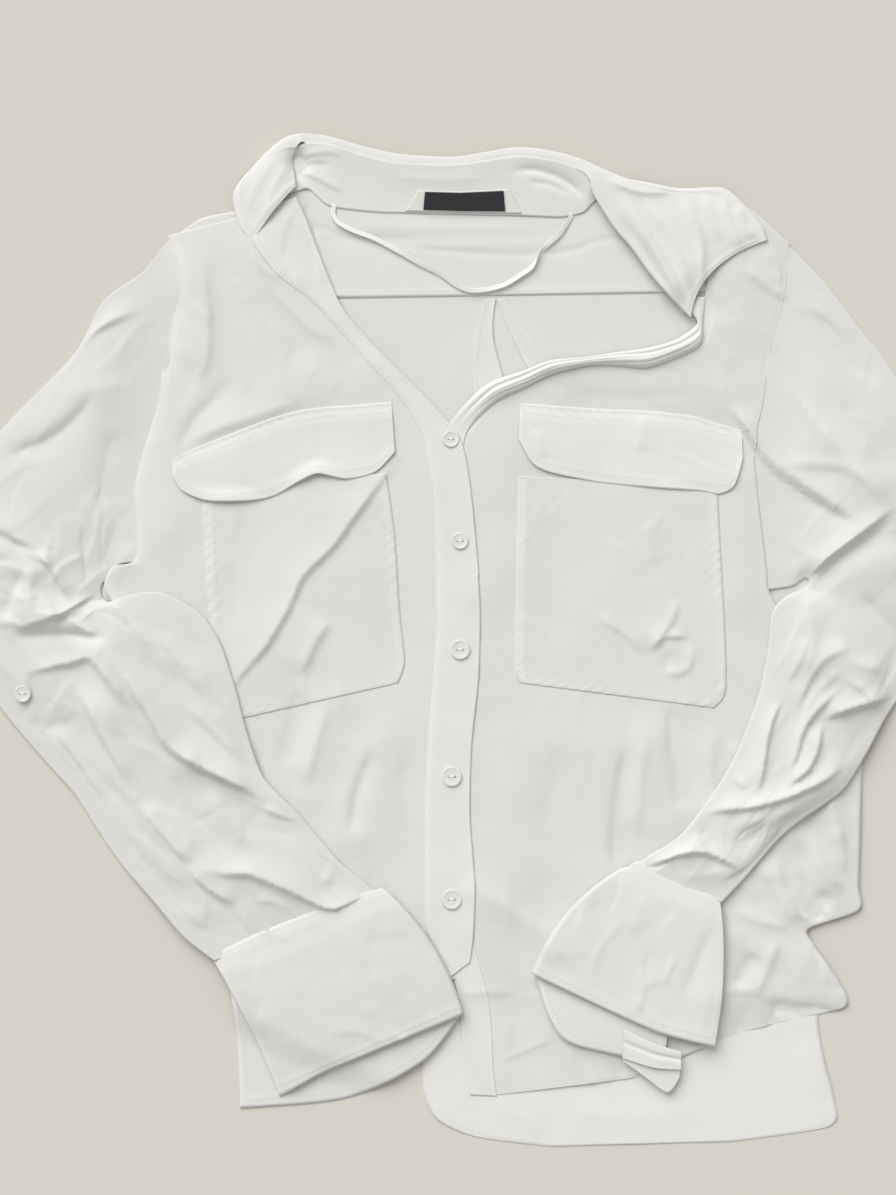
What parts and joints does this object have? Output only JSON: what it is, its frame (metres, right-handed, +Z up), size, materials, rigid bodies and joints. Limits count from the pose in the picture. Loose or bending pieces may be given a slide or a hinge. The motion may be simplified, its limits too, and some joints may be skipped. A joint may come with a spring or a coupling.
{
  "type": "crumpled shirt blouse, laid flat",
  "caption": "Thin white shirt blouse lying flat and crumpled, front up, with an open collar, chest pockets, a button placket and sleeves folded in.",
  "frame": {"origin": "middle of the bounding box's bottom, on the surface that the blouse lies on", "axes": "+Y towards the collar, +X to the viewer's right seen from above, +Z up from the surface"},
  "size_m": [0.5864, 0.6065, 0.0213],
  "materials": {
    "cloth": "matt, thin, slightly see-through viscose",
    "button": "pearly",
    "label": "black satin weave",
    "ribbon": "satin"
  },
  "bodies": {
    "root": {"back_panel": "cloth", "back_yoke": "cloth", "front_left": "cloth", "front_right": "cloth", "placket": "cloth", "button_band": "cloth", "collar_stand": "cloth", "collar_leaf": "cloth", "pocket_left": "cloth", "pocket_right": "cloth", "flap_left": "cloth", "flap_right": "cloth", "sleeve_left": "cloth", "sleeve_right": "cloth", "cuff_left": "cloth", "cuff_right": "cloth", "cuff_end_right": "cloth", "button_1": "button", "button_2": "button", "button_3": "button", "button_4": "button", "button_5": "button", "sleeve_tab_button": "button", "label_patch": "cloth", "label": "label", "hanger_loop": "ribbon"}
  },
  "joints": []
}
